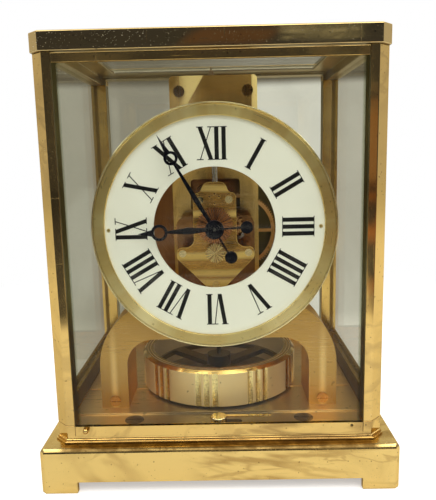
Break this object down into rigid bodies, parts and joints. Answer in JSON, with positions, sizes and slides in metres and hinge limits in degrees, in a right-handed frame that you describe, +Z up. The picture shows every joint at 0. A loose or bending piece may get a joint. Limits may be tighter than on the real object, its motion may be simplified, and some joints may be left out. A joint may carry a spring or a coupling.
{
  "type": "table clock",
  "caption": "Glass-cased brass table clock with an open ring dial, two hands and a slow balance ring hanging under an arch",
  "frame": {"origin": "on the table, under the middle of the plinth", "axes": "+X to the clock's right as seen from the front, +Y to the rear, +Z up; the dial faces -Y"},
  "size_m": [0.1786, 0.1456, 0.222],
  "materials": {
    "gilt_case": "polished",
    "cap_brass": "polished",
    "floor_brass": "brushed",
    "dark_screw": "darkened",
    "polished_brass": "polished",
    "glass": "clear",
    "bridge_brass": "brushed",
    "bezel_brass": "satin, turned",
    "dial_white": "matte cream",
    "numeral_black": "printed",
    "hand_blue": "blued",
    "steel": "plain",
    "wheel_brass": "plain",
    "anchor_steel": "plain",
    "cock_brass": "satin",
    "balance_brass": "polished",
    "drum_copper": "plain"
  },
  "bodies": {
    "case": {"plinth": "gilt_case", "base_frame": "gilt_case", "floor_plate": "floor_brass", "rear_floor_plate": "floor_brass", "front_left_post": "gilt_case", "front_right_post": "gilt_case", "rear_left_post": "gilt_case", "rear_right_post": "gilt_case", "cap_frame": "cap_brass", "top_glass": "glass", "left_glass": "glass", "right_glass": "glass", "rear_glass": "glass", "left_rail": "gilt_case", "right_rail": "gilt_case", "rear_rail": "gilt_case", "bridge": "bridge_brass", "bridge_screws": "polished_brass", "bezel": "bezel_brass", "dial_ring": "dial_white", "dial_screws": "bezel_brass", "numerals": "numeral_black", "cock_plate": "cock_brass", "cock_screws": "polished_brass", "movement_pillars": "wheel_brass", "main_plate": "cock_brass", "pallet_cock": "cock_brass", "tower_plate": "polished_brass", "tower_spacers": "wheel_brass", "tower_screws": "polished_brass", "drum_bracket": "drum_copper", "suspension_bracket": "polished_brass", "suspension_tube": "steel", "suspension_wire": "steel", "drum": "drum_copper", "drum_cover": "drum_copper", "bellows": "drum_copper"},
    "door": {"front_glass": "glass", "door_top_rail": "gilt_case", "door_bottom_rail": "gilt_case", "door_knob": "gilt_case"},
    "minute_train": {"centre_arbor": "wheel_brass", "centre_wheel": "wheel_brass", "minute_hand": "hand_blue"},
    "hour_train": {"hour_wheel": "wheel_brass", "hour_hand": "hand_blue"},
    "minute_work": {"minute_wheel": "wheel_brass"},
    "intermediate": {"intermediate_wheel": "wheel_brass"},
    "barrel": {"great_wheel": "wheel_brass", "mainspring_barrel": "drum_copper"},
    "escape": {"escape_wheel": "wheel_brass"},
    "pallets": {"anchor": "anchor_steel"},
    "balance": {"balance_ring": "balance_brass", "balance_arms": "balance_brass", "balance_roller": "wheel_brass"},
    "lever": {"locking_lever": "polished_brass"},
    "lock": {"lock_plate": "floor_brass"},
    "left_leveller": {"levelling_screw_left": "dark_screw"},
    "right_leveller": {"levelling_screw_right": "dark_screw"},
    "regulator": {"regulator_pointer": "dark_screw"}
  },
  "joints": [
    {"name": "door_tilt", "type": "hinge", "parent": "case", "child": "door", "pos_m": [0, -0.066, 0.2125], "axis": [-1, 0, 0], "range_deg": [0, 35]},
    {"name": "minute_turn", "type": "hinge", "parent": "case", "child": "minute_train", "pos_m": [0, 0, 0.1293], "axis": [0, 1, 0], "continuous": true},
    {"name": "hour_turn", "type": "hinge", "parent": "case", "child": "hour_train", "pos_m": [0, 0, 0.1293], "axis": [0, 1, 0], "continuous": true},
    {"name": "minute_work_turn", "type": "hinge", "parent": "case", "child": "minute_work", "pos_m": [0, 0, 0.1151], "axis": [0, 1, 0], "continuous": true},
    {"name": "intermediate_turn", "type": "hinge", "parent": "case", "child": "intermediate", "pos_m": [-0.01179, 0, 0.12002], "axis": [0, 1, 0], "continuous": true},
    {"name": "barrel_turn", "type": "hinge", "parent": "case", "child": "barrel", "pos_m": [0.01321, 0, 0.12002], "axis": [0, 1, 0], "continuous": true},
    {"name": "escape_turn", "type": "hinge", "parent": "case", "child": "escape", "pos_m": [0.00966, 0, 0.12671], "axis": [0, 1, 0], "continuous": true},
    {"name": "anchor_rock", "type": "hinge", "parent": "case", "child": "pallets", "pos_m": [0.00966, 0, 0.11823], "axis": [0, 1, 0], "range_deg": [-3, 3]},
    {"name": "balance_swing", "type": "hinge", "parent": "case", "child": "balance", "pos_m": [0, -0.003, 0], "axis": [0, 0, 1], "range_deg": [-270, 270], "stiffness_Nm_per_rad": 0.0000056},
    {"name": "lever_slide", "type": "slide", "parent": "case", "child": "lever", "axis": [1, 0, 0], "range_m": [0, 0.01]},
    {"name": "lock_rise", "type": "slide", "parent": "case", "child": "lock", "axis": [0, 0, 1], "range_m": [0, 0.0024]},
    {"name": "left_levelling_turn", "type": "hinge", "parent": "case", "child": "left_leveller", "pos_m": [-0.0437, -0.0567, 0], "axis": [0, 0, 1], "range_deg": [-360, 360]},
    {"name": "right_levelling_turn", "type": "hinge", "parent": "case", "child": "right_leveller", "pos_m": [0.0437, -0.0567, 0], "axis": [0, 0, 1], "range_deg": [-360, 360]},
    {"name": "regulator_turn", "type": "hinge", "parent": "case", "child": "regulator", "pos_m": [-0.001, 0.006, 0], "axis": [0, 0, 1], "range_deg": [-20, 20]}
  ],
  "couplings": [
    {"joint": "hour_turn", "follows": "minute_turn", "ratio": 0.083333},
    {"joint": "minute_work_turn", "follows": "minute_turn", "ratio": -0.15385},
    {"joint": "intermediate_turn", "follows": "minute_turn", "ratio": -0.2},
    {"joint": "barrel_turn", "follows": "minute_turn", "ratio": 0.022222},
    {"joint": "escape_turn", "follows": "minute_turn", "ratio": -4},
    {"joint": "lock_rise", "follows": "lever_slide", "ratio": 0.24}
  ]
}
